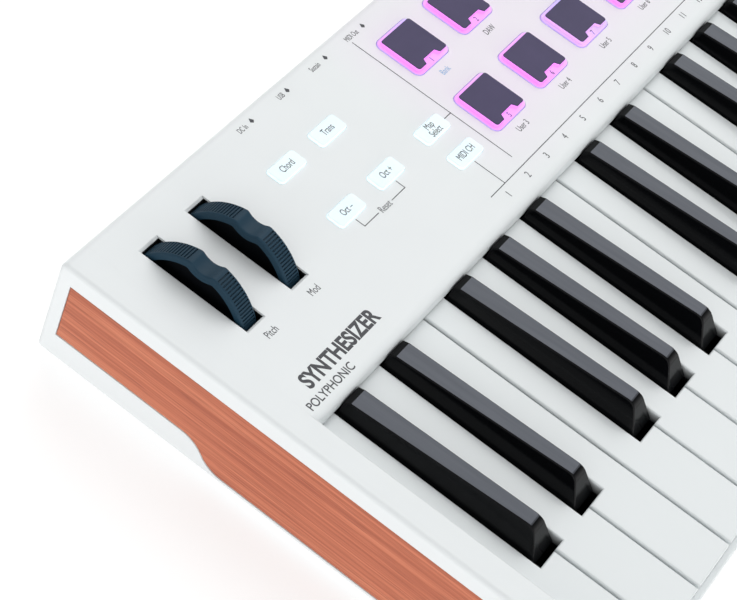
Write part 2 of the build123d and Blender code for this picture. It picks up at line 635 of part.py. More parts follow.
def make_pad(place, name):
    x, y = spot(place)
    notch_y = y - PAD_TOP[1] / 2
    with BuildPart() as pad:
        with BuildSketch(Plane.XY.offset(PANEL_UNDER - 1.2)):
            with Locations((x, y)):
                RectangleRounded(*PAD_RIM, 3.0)
        extrude(amount=PANEL_TOP + 0.6 - PANEL_UNDER + 1.2)
        fillet(top_edges_above(PANEL_TOP + 0.59), 0.5)
        with BuildSketch(Plane.XY.offset(PANEL_TOP)):
            with Locations((x, y)):
                RectangleRounded(*PAD_TOP, 1.2)
            with BuildLine():
                Polyline((x - 4.9, notch_y - 0.1), (x - 3.7, notch_y + 2.2), (x + 3.7, notch_y + 2.2),
                         (x + 4.9, notch_y - 0.1), close=True)
            make_face(mode=Mode.SUBTRACT)
        extrude(amount=2.0)
        fillet(top_edges_above(PANEL_TOP + 1.99), 0.35)
        with BuildSketch(Plane.XY.offset(PANEL_UNDER - 2.4)):
            with Locations((x, y)):
                RectangleRounded(PAD_RIM[0] + 3, PAD_RIM[1] + 3, 3.0)
        extrude(amount=1.2)
    finish(pad, name)


pad_number = 1
for pad_y in PAD_Y:
    for pad_x in PAD_X:
        make_pad((pad_x, pad_y), f"pad_{pad_number}")
        pad_number += 1


# ---- Encoders and faders --------------------------------------------------
def make_knob(place, radius, height, flutes, name):
    x, y = spot(place)
    base = PANEL_TOP + 0.8
    with BuildPart() as knob:
        with Locations((x, y, base)):
            Cone(radius, radius - 0.5, height, align=(Align.CENTER, Align.CENTER, Align.MIN))
        fillet(top_edges_above(base + height - 0.01), 0.9)
        with Locations((x, y, base + 1.2)):
            with PolarLocations(radius + 0.25, flutes):
                Cylinder(0.75, height + 1, align=(Align.CENTER, Align.CENTER, Align.MIN), mode=Mode.SUBTRACT)
        with Locations((x, y, base)):
            Cylinder(3.05, 9.6, align=(Align.CENTER, Align.CENTER, Align.MIN), mode=Mode.SUBTRACT)
        with Locations((x, y, base + height)):
            Cylinder(radius - 2.2, 0.6, mode=Mode.SUBTRACT)
    finish(knob, name)


for number, encoder_x in enumerate(ENCODER_X):
    make_knob((encoder_x, ENCODER_Y), 7.0, 13.0, 24, f"encoder_knob_{number + 1}")
make_knob(MAIN_ENCODER, 11.0, 13.0, 36, "main_encoder_knob")

with BuildPart() as control_bodies:
    for place in [(x, ENCODER_Y) for x in ENCODER_X] + [MAIN_ENCODER]:
        x, y = spot(place)
        box_between((x - 6, x + 6), (y - 6.2, y + 6.2), (BOARD_TOP, BOARD_TOP + 5.5))
        upright([(x, y)], 3.4, (BOARD_TOP + 5.5, PANEL_TOP + 0.4))
        upright([(x, y)], 3.0, (PANEL_TOP + 0.4, PANEL_TOP + 10))
    for fader_x in ENCODER_X:
        x, y = spot((fader_x, FADER_Y))
        box_between((x - 4.5, x + 4.5), (y - 23, y + 23), (BOARD_TOP, BOARD_TOP + 5.6))
        box_between((x - 0.9, x + 0.9), (y - 18, y + 18), (BOARD_TOP + 1.4, BOARD_TOP + 6), Mode.SUBTRACT)
finish(control_bodies, "control_bodies")

with BuildPart() as fader_caps:
    for fader_x in ENCODER_X:
        x, y = spot((fader_x, FADER_Y))
        with BuildSketch(Plane.YZ.offset(x - 4.6)):
            with BuildLine():
                Polyline((y - 6.5, PANEL_TOP + 1.0), (y - 5.2, PANEL_TOP + 8.0), (y - 4.0, PANEL_TOP + 8.6))
                ThreePointArc((y - 4.0, PANEL_TOP + 8.6), (y, PANEL_TOP + 6.8), (y + 4.0, PANEL_TOP + 8.6))
                Polyline((y + 4.0, PANEL_TOP + 8.6), (y + 5.2, PANEL_TOP + 8.0), (y + 6.5, PANEL_TOP + 1.0),
                         (y - 6.5, PANEL_TOP + 1.0))
            make_face()
        extrude(amount=9.2)
        box_between((x - 0.6, x + 0.6), (y - 2, y + 2), (BOARD_TOP + 2.4, PANEL_TOP + 2))
finish(fader_caps, "fader_caps")

# ---- Boards, screen and sockets -------------------------------------------
with BuildPart() as control_board:
    box_between((along(60), along(838)), (back(136), back(221)), (BOARD_TOP - BOARD_THICKNESS, BOARD_TOP))
    upright(board_screws, SCREW_RADIUS, (BOARD_TOP - BOARD_THICKNESS, BOARD_TOP), Mode.SUBTRACT)
    # notches round the rear screw bosses
    upright([(x, SCREW_BACK) for x in SCREW_X], BOSS_RADIUS + 0.5, (BOARD_TOP - BOARD_THICKNESS, BOARD_TOP),
            Mode.SUBTRACT)
    # a switch or a sensor under each button and pad
    for place in list(LEFT_BUTTONS.values()) + TRANSPORT_BUTTONS + SCREEN_BUTTONS:
        x, y = spot(place)
        box_between((x - 3, x + 3), (y - 3, y + 3), (BOARD_TOP, BOARD_TOP + 2.6))
    for pad_x in PAD_X:
        for pad_y in PAD_Y:
            x, y = spot((pad_x, pad_y))
            box_between((x - 9, x + 9), (y - 9, y + 9), (BOARD_TOP, BOARD_TOP + 1.0))
finish(control_board, "control_board")

with BuildPart() as main_board:
    box_between((along(68), along(197)), (back(165), back(222)), (MAIN_BOARD_TOP - 1.6, MAIN_BOARD_TOP))
    box_between((along(100), along(116)), (back(175), back(191)), (MAIN_BOARD_TOP, MAIN_BOARD_TOP + 1.4))
    box_between((along(140), along(150)), (back(176), back(190)), (MAIN_BOARD_TOP, MAIN_BOARD_TOP + 1.4))
finish(main_board, "main_board")

INNER_REAR = REAR - SHELL - 0.1


def rear_bar(x, z, radius, y, mode=Mode.ADD):
    """A round bar along Y between two values of Y."""
    with Locations(Location((x, (y[0] + y[1]) / 2, z), (90, 0, 0))):
        Cylinder(radius, y[1] - y[0], mode=mode)


with BuildPart() as rear_sockets:
    # power
    x, z = along(POWER_X), MAIN_BOARD_TOP + 5.5
    box_between((x - 4.5, x + 4.5), (INNER_REAR - 13, INNER_REAR), (MAIN_BOARD_TOP, MAIN_BOARD_TOP + 11))
    rear_bar(x, z, 4.0, (INNER_REAR, SOCKET_FACE))
    rear_bar(x, z, 2.8, (SOCKET_FACE - 9.5, SOCKET_FACE), Mode.SUBTRACT)
    rear_bar(x, z, 1.0, (SOCKET_FACE - 9.5, SOCKET_FACE - 0.8))
    # data
    x, z = along(USB_X), USB_HEIGHT
    with BuildSketch(Plane.XZ.offset(-SOCKET_FACE)):
        with Locations((x, z)):
            RectangleRounded(9.2, 3.5, 1.7)
            RectangleRounded(8.5, 2.8, 1.35, mode=Mode.SUBTRACT)
    extrude(amount=10)
    box_between((x - 4.6, x + 4.6), (SOCKET_FACE - 12, SOCKET_FACE - 10), (MAIN_BOARD_TOP, MAIN_BOARD_TOP + 3.7))
    box_between((x - 3.3, x + 3.3), (SOCKET_FACE - 10, SOCKET_FACE - 1), (z - 0.35, z + 0.35))
    # sustain pedal
    x, z = along(PEDAL_X), JACK_HEIGHT
    box_between((x - 7, x + 7), (INNER_REAR - 24, INNER_REAR), (MAIN_BOARD_TOP, MAIN_BOARD_TOP + 13))
    rear_bar(x, z, 4.6, (INNER_REAR, SOCKET_FACE))
    rear_bar(x, z, JACK_RADIUS, (SOCKET_FACE - 24, SOCKET_FACE), Mode.SUBTRACT)
    # five-pole round socket
    x, z = along(DIN_X), DIN_HEIGHT
    box_between((x - 9, x + 9), (INNER_REAR - 12, INNER_REAR), (MAIN_BOARD_TOP, MAIN_BOARD_TOP + 18))
    rear_bar(x, z, 8.0, (INNER_REAR, SOCKET_FACE))
    rear_bar(x, z, 6.9, (SOCKET_FACE - 8, SOCKET_FACE), Mode.SUBTRACT)
    rear_bar(x, z, 5.9, (SOCKET_FACE - 8, SOCKET_FACE - 0.6))
    with Locations(Location((x, SOCKET_FACE - 4, z), (90, 0, 0))):
        with PolarLocations(4.4, 5, start_angle=0, angular_range=180, endpoint=True):
            Cylinder(0.8, 8, mode=Mode.SUBTRACT)
finish(rear_sockets, "rear_sockets")

with BuildPart() as screen_module:
    x, y = spot(SCREEN)
    half_x, half_y = SCREEN_SIZE[0] / 2 - 3, SCREEN_SIZE[1] / 2 - 3
    box_between((x - half_x, x + half_x), (y - half_y, y + half_y), (BOARD_TOP, PANEL_TOP - 1.5))
    box_between((x - half_x - 2, x + half_x + 2), (y - half_y - 2, y + half_y + 2), (BOARD_TOP, PANEL_UNDER - 1))
finish(screen_module, "screen_module")

with BuildPart() as screen_window:
    with BuildSketch(Plane.XY.offset(PANEL_TOP - 1.3)):
        with Locations(spot(SCREEN)):
            RectangleRounded(*SCREEN_SIZE, 2.0)
    extrude(amount=1.3)
    chamfer(screen_window.faces().sort_by(Axis.Z)[-1].edges(), 0.2)
finish(screen_window, "screen_window")
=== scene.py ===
"""Visual model of a 61-key synthesizer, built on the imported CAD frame.

Everything is in metres in the frame of the CAD: +X along the keyboard, +Y to the back, +Z up.
Places on the panel are given as millimetres from the left end of the keyboard and behind the
front edge of the white keys, and turned into the frame by spot().
"""
import bpy
import bmesh
from mathutils import Matrix, Vector


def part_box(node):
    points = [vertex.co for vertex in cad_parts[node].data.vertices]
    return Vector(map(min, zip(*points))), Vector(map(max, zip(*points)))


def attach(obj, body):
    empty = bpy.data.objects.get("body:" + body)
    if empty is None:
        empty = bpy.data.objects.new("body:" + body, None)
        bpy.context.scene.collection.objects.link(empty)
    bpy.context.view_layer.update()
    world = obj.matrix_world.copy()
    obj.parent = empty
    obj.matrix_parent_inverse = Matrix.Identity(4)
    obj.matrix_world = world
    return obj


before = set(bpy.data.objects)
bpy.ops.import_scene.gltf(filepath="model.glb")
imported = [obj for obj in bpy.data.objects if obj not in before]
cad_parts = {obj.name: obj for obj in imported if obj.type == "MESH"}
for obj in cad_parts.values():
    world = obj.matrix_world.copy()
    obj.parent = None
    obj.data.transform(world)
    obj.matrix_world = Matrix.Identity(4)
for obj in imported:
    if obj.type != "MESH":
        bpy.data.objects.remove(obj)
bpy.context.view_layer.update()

MM = 0.001
KEY_GAP = 0.5 * MM
KEYS_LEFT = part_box("key_c")[0].x - KEY_GAP
KEYS_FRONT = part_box("key_c")[0].y
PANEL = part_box("top_case")[1].z
KEY_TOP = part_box("key_c")[1].z
PADS = [f"pad_{n}" for n in range(1, 9)]
KNOBS = [f"encoder_knob_{n}" for n in range(1, 10)]
WHEELS = ("pitch_wheel", "mod_wheel")
# heights over the panel and thicknesses of the printing, in millimetres
INK_LIFT = 0.02
INK_THICKNESS = 0.02
LETTER_THICKNESS = 0.01
# the step in the rim of a pad that carries its number, over the panel in millimetres
PAD_TAB = 0.62
# how a mottled colour is spread over its noise
DRIFT_LOW, DRIFT_HIGH = 0.35, 0.65


def spot(along, back, up=0.0):
    """A point in the frame, from millimetres along the keys, behind their fronts and over the panel."""
    return Vector((KEYS_LEFT + along * MM, KEYS_FRONT + back * MM, PANEL + up * MM))


def place_on(node):
    """Middle of a node from above, as a place on the panel."""
    low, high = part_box(node)
    return (((low.x + high.x) / 2 - KEYS_LEFT) / MM, ((low.y + high.y) / 2 - KEYS_FRONT) / MM)


def top_of(node):
    """Top of a node, in millimetres over the panel."""
    return (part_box(node)[1].z - PANEL) / MM


def srgb(*channels):
    """Linear colour with alpha from 8-bit sRGB values."""
    values = [c / 255 for c in channels]
    return tuple(c / 12.92 if c <= 0.04045 else ((c + 0.055) / 1.055) ** 2.4 for c in values) + (1.0,)


def set_range(node, low, high, out_low, out_high):
    """Fill in a Map Range node."""
    for socket, value in (("From Min", low), ("From Max", high), ("To Min", out_low), ("To Max", out_high)):
        node.inputs[socket].default_value = value


# ---- Materials ------------------------------------------------------------
class Look:
    """A principled material with the nodes that the looks share."""

    def __init__(self, name, color, roughness, **more):
        self.material = bpy.data.materials.new(name)
        self.material.use_nodes = True
        self.nodes = self.material.node_tree.nodes
        self.links = self.material.node_tree.links
        self.surface = self.nodes["Principled BSDF"]
        self.set("Base Color", color)
        self.set("Roughness", roughness)
        for socket, value in more.items():
            self.set(socket.replace("_", " "), value)
        self.place = self.nodes.new("ShaderNodeTexCoord").outputs["Object"]

    def set(self, socket, value):
        self.surface.inputs[socket].default_value = value

    def link(self, source, socket):
        self.links.new(source, self.surface.inputs[socket])

    def scaled(self, x, y, z):
        mapping = self.nodes.new("ShaderNodeMapping")
        mapping.inputs["Scale"].default_value = (x, y, z)
        self.links.new(self.place, mapping.inputs["Vector"])
        return mapping.outputs["Vector"]

    def noise(self, scale, detail=3.0, roughness=0.5, vector=None, distortion=0.0):
        node = self.nodes.new("ShaderNodeTexNoise")
        node.inputs["Scale"].default_value = scale
        node.inputs["Detail"].default_value = detail
        node.inputs["Roughness"].default_value = roughness
        node.inputs["Distortion"].default_value = distortion
        self.links.new(vector or self.place, node.inputs["Vector"])
        return node.outputs["Fac"]

    def ramp(self, source, *stops):
        node = self.nodes.new("ShaderNodeValToRGB")
        ramp = node.color_ramp
        while len(ramp.elements) < len(stops):
            ramp.elements.new(0.5)
        for element, (position, color) in zip(ramp.elements, stops):
            element.position = position
            element.color = color
        self.links.new(source, node.inputs["Fac"])
        return node.outputs["Color"]

    def range(self, source, low, high, out_low, out_high):
        node = self.nodes.new("ShaderNodeMapRange")
        set_range(node, low, high, out_low, out_high)
        self.links.new(source, node.inputs["Value"])
        return node.outputs["Result"]

    def mix(self, factor, a, b, blend="MIX"):
        node = self.nodes.new("ShaderNodeMix")
        node.data_type = "RGBA"
        node.blend_type = blend
        for socket, value in ((0, factor), (6, a), (7, b)):
            if isinstance(value, bpy.types.NodeSocket):
                self.links.new(value, node.inputs[socket])
            else:
                node.inputs[socket].default_value = value
        return node.outputs[2]

    def axis(self, index, vector=None):
        """One coordinate of a vector, or of the place on the object."""
        node = self.nodes.new("ShaderNodeSeparateXYZ")
        self.links.new(vector or self.place, node.inputs["Vector"])
        return node.outputs[index]

    def facing(self, index):
        """One coordinate of the direction that a face looks in."""
        return self.axis(index, self.nodes.new("ShaderNodeNewGeometry").outputs["True Normal"])

    def off_centre(self, index, centre):
        """Distance from a coordinate, along one axis."""
        return self.math("ABSOLUTE", self.math("SUBTRACT", self.axis(index), centre))

    def math(self, operation, a, b=None, c=None):
        node = self.nodes.new("ShaderNodeMath")
        node.operation = operation
        for socket, value in zip(node.inputs, (a, b, c)):
            if isinstance(value, bpy.types.NodeSocket):
                self.links.new(value, socket)
            elif value is not None:
                socket.default_value = value
        return node.outputs[0]

    def drift(self, color, shade, scale):
        """A colour that drifts between two near values."""
        return self.ramp(self.noise(scale), (DRIFT_LOW, color), (DRIFT_HIGH, shade))

    def mottle(self, color, shade, scale):
        self.link(self.drift(color, shade, scale), "Base Color")

    def rough(self, scale, low, high):
        self.link(self.range(self.noise(scale, 4.0), 0.3, 0.7, low, high), "Roughness")

    def grain(self, height, strength, distance, edge=0.0):
        """A bumpy surface, with its sharp edges rounded by a radius in metres."""
        bump = self.nodes.new("ShaderNodeBump")
        bump.inputs["Strength"].default_value = strength
        bump.inputs["Distance"].default_value = distance
        self.links.new(height, bump.inputs["Height"])
        if edge:
            soft = self.nodes.new("ShaderNodeBevel")
            soft.samples = 4
            soft.inputs["Radius"].default_value = edge
            self.links.new(soft.outputs["Normal"], bump.inputs["Normal"])
        self.link(bump.outputs["Normal"], "Normal")


DRIFT_SCALE = 14.0
GLOSS_SCALE = 90.0
UNEVEN_GLOSS = 0.04
GRAIN_DEPTH = 0.04 * MM


def plastic(name, color, shade, roughness, grain_scale=2600.0, strength=0.12, edge=0.0, recolour=None,
            **more):
    """Moulded plastic: a slight drift of colour and gloss and a fine spark-eroded grain.

    recolour is a function of the look and its colour that gives the colour to use in its place.
    """
    look = Look(name, color, roughness, **more)
    base = look.drift(color, shade, DRIFT_SCALE)
    look.link(recolour(look, base) if recolour else base, "Base Color")
    look.rough(GLOSS_SCALE, roughness - UNEVEN_GLOSS, roughness + UNEVEN_GLOSS)
    look.grain(look.noise(grain_scale, 2.0), strength, GRAIN_DEPTH, edge)
    return look


# painted light: the glow of the pads painted round them starts inside their block, ends outside it, and has
# this much weight
PAD_GLOW_REACH = (4 * MM, 22 * MM)
PAD_GLOW = 0.8
# slot walls get painted shade from this far below the panel, within a margin of the parts that stand in
# them
SLOT_WALL = 0.9 * MM
SLOT_ZONES = [(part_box("pitch_wheel")[0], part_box("mod_wheel")[1], (4 * MM, 4 * MM)),
              (*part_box("fader_caps"), (2 * MM, 20 * MM))]


def housing_colour(look, white):
    """White, with the pads' light painted round them as a glow, and painted shade inside the wheel and
    fader slots.
    """
    low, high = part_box("pad_5")[0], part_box("pad_4")[1]
    middle, half = (low + high) / 2, (high - low) / 2
    within, reach = PAD_GLOW_REACH
    near = [look.range(look.off_centre(n, middle[n]), half[n] - within, half[n] + reach, 1.0, 0.0)
            for n in (0, 1)]
    painted_pad_glow = look.math("MULTIPLY", *near)
    # painted light: the pale violet glow of the pads mixed into the panel's white
    colour = look.mix(look.math("MULTIPLY", painted_pad_glow, PAD_GLOW), white, srgb(238, 231, 241))
    for zone_low, zone_high, margin in SLOT_ZONES:
        slot_shade = look.math("LESS_THAN", look.axis(2), PANEL - SLOT_WALL)
        for n in (0, 1):
            past = look.math("GREATER_THAN", look.axis(n), zone_low[n] - margin[n])
            short = look.math("LESS_THAN", look.axis(n), zone_high[n] + margin[n])
            slot_shade = look.math("MULTIPLY", slot_shade, look.math("MULTIPLY", past, short))
        # painted shade: near-black on the slot walls, where shade falls
        colour = look.mix(slot_shade, colour, srgb(12, 12, 14))
    return colour


WEB_HALF = 3.2 * MM
SIDEWAYS = 0.9


def wheel_colour(look, slate):
    """Slate, with the hollow webs of the wheels in deep shade."""
    centres = [(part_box(n)[0].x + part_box(n)[1].x) / 2 for n in WHEELS]
    depth = look.math("MINIMUM", *[look.off_centre(0, centre) for centre in centres])
    sideways = look.math("GREATER_THAN", look.math("ABSOLUTE", look.facing(0)), SIDEWAYS)
    in_web = look.math("MULTIPLY", sideways, look.math("LESS_THAN", depth, WEB_HALF))
    return look.mix(in_web, slate, srgb(8, 10, 14))


KEY_WALL_TOP, KEY_WALL_FOOT = 0.7 * MM, 4.5 * MM
KEY_HEAD = 43.5 * MM
# the black key tops carry a painted sheen and rougher gloss from this far over the white keys, on faces
# this level
SATIN_AND_SHEEN_FROM = 2.0 * MM
LEVEL_FROM, LEVEL_TO = 0.95, 0.99


def white_key_look():
    """Gloss white, with the narrow walls beside the black keys in shade."""
    look = Look("white_key_plastic", srgb(230, 234, 235), 0.26, Coat_Weight=0.2, Coat_Roughness=0.14)
    white = look.ramp(look.noise(9.0), (0.3, srgb(224, 229, 230)), (0.7, srgb(222, 227, 228)))
    deep = look.range(look.axis(2), KEY_TOP - KEY_WALL_FOOT, KEY_TOP - KEY_WALL_TOP, 1.0, 0.0)
    behind = look.math("GREATER_THAN", look.axis(1), KEYS_FRONT + KEY_HEAD)
    look.link(look.mix(look.math("MULTIPLY", deep, behind), white, srgb(14, 15, 17)), "Base Color")
    look.grain(look.noise(700.0, 2.0), 0.03, 0.00003, 0.0004)
    return look


def black_key_look():
    """Gloss black sides, and a top with a fine, less glossy grain that scatters more light and a painted
    sheen: the top's base colour is painted grey, lighter than the sides.
    """
    look = Look("black_key_plastic", srgb(8, 9, 11), 0.12, Specular_IOR_Level=0.15)
    # painted sheen: up-facing top faces get a grey base colour, lighter than the sides, standing in for
    # light reflected there; the same mask makes them rougher
    above = look.math("GREATER_THAN", look.axis(2), KEY_TOP + SATIN_AND_SHEEN_FROM)
    satin_and_painted_sheen = look.math("MULTIPLY", look.range(look.facing(2), LEVEL_FROM, LEVEL_TO, 0.0, 1.0), above)
    streak = look.noise(1.0, 3.0, 0.5, look.scaled(500, 12, 500))
    # greys of the painted sheen on the top
    top = look.ramp(streak, (DRIFT_LOW, srgb(88, 92, 100)), (DRIFT_HIGH, srgb(95, 99, 107)))
    look.link(look.mix(satin_and_painted_sheen, srgb(7, 8, 10), top), "Base Color")
    look.link(look.range(satin_and_painted_sheen, 0.0, 1.0, 0.1, 0.34), "Roughness")
    look.grain(look.noise(2200.0, 2.0), 0.06, 0.00003, 0.0003)
    return look


housing = plastic("housing_plastic", srgb(233, 237, 238), srgb(231, 235, 236), 0.46, edge=0.5 * MM,
                  recolour=housing_colour)
bottom = plastic("bottom_plastic", srgb(98, 98, 101), srgb(92, 92, 95), 0.55, 1500.0, 0.3)
white_key = white_key_look()
black_key = black_key_look()
wheel = plastic("wheel_rubber", srgb(33, 61, 78), srgb(28, 54, 70), 0.5, 1800.0, 0.2, edge=0.2 * MM,
                recolour=wheel_colour, Specular_IOR_Level=0.16)
knob = plastic("knob_rubber", srgb(34, 37, 42), srgb(29, 32, 37), 0.5, 2200.0, 0.25, edge=0.2 * MM)
keybed = plastic("frame_plastic", srgb(26, 27, 29), srgb(20, 21, 23), 0.6, 900.0, 0.3)
rubber = plastic("foot_rubber", srgb(30, 30, 32), srgb(22, 22, 24), 0.8, 900.0, 0.5)
socket = plastic("socket_plastic", srgb(20, 20, 22), srgb(26, 26, 28), 0.42, 900.0, 0.2)
sensor = plastic("sensor_plastic", srgb(38, 52, 74), srgb(32, 45, 66), 0.4, 900.0, 0.2)
contact = plastic("contact_silicone", srgb(196, 196, 190), srgb(184, 184, 178), 0.6, 900.0, 0.3)
screen_body = plastic("screen_frame", srgb(18, 19, 21), srgb(22, 23, 25), 0.5, 900.0, 0.2)

screw = Look("screw_steel", srgb(150, 150, 152), 0.32, Metallic=1.0)
screw.rough(2500.0, 0.25, 0.42)
screw.grain(screw.noise(4000.0), 0.15, 0.00003)
rod = Look("rod_steel", srgb(176, 176, 178), 0.25, Metallic=1.0)
rod.rough(900.0, 0.2, 0.34)
rod.grain(rod.noise(600.0, vector=rod.scaled(0.05, 1, 1)), 0.1, 0.00002)

felt = Look("felt_red", srgb(122, 26, 32), 0.95, Sheen_Weight=0.6, Sheen_Roughness=0.5)
felt.mottle(srgb(128, 26, 32), srgb(98, 18, 26), 900.0)
felt.grain(felt.noise(2400.0, 6.0), 0.8, 0.0003)

board = Look("circuit_board", srgb(14, 66, 44), 0.35)
trace = board.nodes.new("ShaderNodeTexVoronoi")
trace.distance = "MANHATTAN"
trace.inputs["Scale"].default_value = 240.0
board.links.new(board.place, trace.inputs["Vector"])
tracks = board.ramp(trace.outputs["Distance"], (0.28, srgb(12, 60, 40)), (0.34, srgb(22, 92, 58)))
board.link(tracks, "Base Color")
board.grain(trace.outputs["Distance"], 0.1, 0.00005)

# wood: long fibres along Y, darker pores and slow bands
wood = Look("wood_panel", srgb(198, 112, 78), 0.5, Coat_Weight=0.12, Coat_Roughness=0.3)
fibre = wood.noise(1.0, 8.0, 0.62, wood.scaled(900, 14, 1500), 0.25)
band = wood.noise(1.0, 4.0, 0.55, wood.scaled(150, 5, 260), 0.6)
pore = wood.noise(1.0, 3.0, 0.5, wood.scaled(1400, 45, 2600))
colour = wood.ramp(band, (0.3, srgb(180, 94, 62)), (0.5, srgb(202, 114, 79)), (0.72, srgb(214, 130, 94)))
colour = wood.mix(wood.range(fibre, 0.42, 0.66, 0.0, 0.75), colour, srgb(156, 74, 46))
colour = wood.mix(wood.range(pore, 0.6, 0.72, 0.0, 0.7), colour, srgb(118, 50, 32))
wood.link(colour, "Base Color")
wood.link(wood.range(fibre, 0.3, 0.7, 0.44, 0.62), "Roughness")
wood.grain(fibre, 0.35, 0.00012, 0.0002)

# the lit button caps glow more at their sides
button = Look("button_lit", srgb(240, 250, 253), 0.42, Subsurface_Weight=0.1,
              Emission_Color=srgb(222, 246, 255))
button.mottle(srgb(240, 250, 253), srgb(234, 247, 252), 60.0)
CAP_EDGE = 0.15 * MM
TOP_GLOW, SIDE_GLOW = 0.12, 0.5
cap_side = button.math("LESS_THAN", button.axis(2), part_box("chord_button")[1].z - CAP_EDGE)
button.link(button.range(cap_side, 0.0, 1.0, TOP_GLOW, SIDE_GLOW), "Emission Strength")
button.grain(button.noise(1800.0), 0.1, 0.00003, 0.0003)

glass = Look("screen_glass", srgb(6, 7, 9), 0.06, Coat_Weight=0.6, Coat_Roughness=0.02)
glass.mottle(srgb(6, 7, 9), srgb(9, 10, 12), 30.0)
glass.rough(300.0, 0.05, 0.09)


def flat_paint(name, color, shade, roughness=0.5, scale=900.0, **more):
    """Printing ink, paint or a lit segment, with a slight drift of colour."""
    look = Look(name, color, roughness, **more)
    look.mottle(color, shade, scale)
    return look


ink = flat_paint("printed_ink", srgb(62, 64, 70), srgb(54, 56, 62), 0.55)
bold_ink = flat_paint("bold_ink", srgb(54, 56, 62), srgb(46, 48, 54), scale=700.0)
blue_ink = flat_paint("blue_ink", srgb(150, 186, 226), srgb(140, 178, 222), 0.55)
pad_ink = flat_paint("pad_ink", srgb(98, 64, 120), srgb(88, 56, 108))
mark_paint = flat_paint("mark_paint", srgb(228, 230, 232), srgb(218, 220, 223), scale=800.0)
display = flat_paint("display_light", srgb(30, 34, 38), srgb(40, 44, 50), 0.3, 500.0,
                     Emission_Color=srgb(196, 226, 240), Emission_Strength=0.8)

PAD_RIM = 0.2 * MM
PAD_FOOT = 0.3 * MM
PAD_GLOW_STRENGTH = 0.34
PAD_SLANT = 0.6
TINT_FROM, TINT_TO = -13 * MM, 14 * MM


def pad_look(name, left_tint, right_tint):
    """A dark soft block on a lit rim. The rim's tint goes from its left side to its right side."""
    low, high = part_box(name)
    look = Look(name + "_look", srgb(74, 68, 100), 0.5, Specular_IOR_Level=0.25)
    top = look.ramp(look.noise(60.0), (0.3, srgb(68, 60, 97)), (0.7, srgb(60, 53, 89)))
    across = look.math("ADD", look.axis(0), look.math("MULTIPLY", look.axis(1), PAD_SLANT))
    middle = (low.x + high.x) / 2 + PAD_SLANT * (low.y + high.y) / 2
    blend = look.range(across, middle + TINT_FROM, middle + TINT_TO, 0.0, 1.0)
    tint = look.mix(blend, left_tint, right_tint)
    height = look.axis(2)
    lit = look.math("LESS_THAN", height, high.z - PAD_RIM)
    wall = look.math("GREATER_THAN", height, PANEL + PAD_TAB * MM)
    foot = look.math("LESS_THAN", height, PANEL + PAD_FOOT)
    glow = look.mix(foot, look.mix(wall, tint, left_tint), srgb(196, 172, 240))
    look.link(look.mix(lit, top, glow), "Base Color")
    look.link(look.mix(lit, (0, 0, 0, 1), glow), "Emission Color")
    look.set("Emission Strength", PAD_GLOW_STRENGTH)
    look.grain(look.noise(1500.0), 0.2, 0.00004, 0.0002)
    return look


PINK = srgb(240, 152, 248)
ROSE = srgb(226, 178, 242)
LILAC = srgb(202, 186, 246)
VIOLET = srgb(186, 182, 248)
PAD_TINTS = [(PINK, LILAC), (PINK, ROSE), (ROSE, LILAC), (PINK, ROSE),
             (PINK, ROSE), (PINK, ROSE), (ROSE, VIOLET), (PINK, ROSE)]

SLOT_LOOKS = {
    "housing": housing, "bottom": bottom, "wood": wood, "rubber": rubber, "screw": screw,
    "frame": keybed, "rod": rod, "felt": felt, "board": board, "contact_rubber": contact,
    "sensor": sensor, "socket": socket, "screen_body": screen_body, "screen_glass": glass,
    "wheel": wheel, "button": button, "knob": knob, "white_key": white_key, "black_key": black_key,
}
NODE_SLOTS = {
    "top_case": "housing", "bottom_plate": "bottom", "wood_side_panels": "wood", "rubber_feet": "rubber",
    "case_screws": "screw", "keybed_frame": "frame", "key_pivot_rod": "rod", "key_felt": "felt",
    "key_contact_board": "board", "key_contact_rubber": "contact_rubber", "wheel_brackets": "frame",
    "wheel_sensors": "sensor", "control_bodies": "sensor", "control_board": "board",
    "main_board": "board", "rear_sockets": "socket", "screen_module": "screen_body",
    "screen_window": "screen_glass", "pitch_wheel": "wheel", "mod_wheel": "wheel",
    "upper_white_keys": "white_key", "upper_black_keys": "black_key", "centre_buttons": "button",
    "fader_caps": "knob",
}


def slot_of(node):
    """The kind of look a node wears: from the table, or from the ending of its name."""
    if node in NODE_SLOTS:
        return NODE_SLOTS[node]
    if node.endswith("_sharp"):
        return "black_key"
    if node.startswith("key_"):
        return "white_key"
    return "button" if node.endswith("_button") else "knob"


for node_name, node_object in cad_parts.items():
    if node_name in PADS:
        look = pad_look(node_name, *PAD_TINTS[PADS.index(node_name)])
    else:
        look = SLOT_LOOKS[slot_of(node_name)]
    if not node_object.material_slots:
        node_object.data.materials.append(None)
    for material_slot in node_object.material_slots:
        material_slot.material = look.material


# ---- Printing -------------------------------------------------------------
def label(name, words, along, back, height, look=ink, body="case", squeeze=0.8, weight=0.0, up=INK_LIFT):
    """Plain lettering, flat on the panel, with its middle at a place on the panel."""
    text = bpy.data.curves.new(name, "FONT")
    text.body = words
    text.size = height * MM
    text.align_x = "CENTER"
    text.align_y = "CENTER"
    text.space_line = 0.8
    text.extrude = LETTER_THICKNESS * MM
    text.offset = weight * MM
    text.materials.append(look.material)
    piece = bpy.data.objects.new(name, text)
    bpy.context.collection.objects.link(piece)
    piece.matrix_world = Matrix.Translation(spot(along, back, up)) @ Matrix.Diagonal((squeeze, 1, 1, 1))
    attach(piece, body)


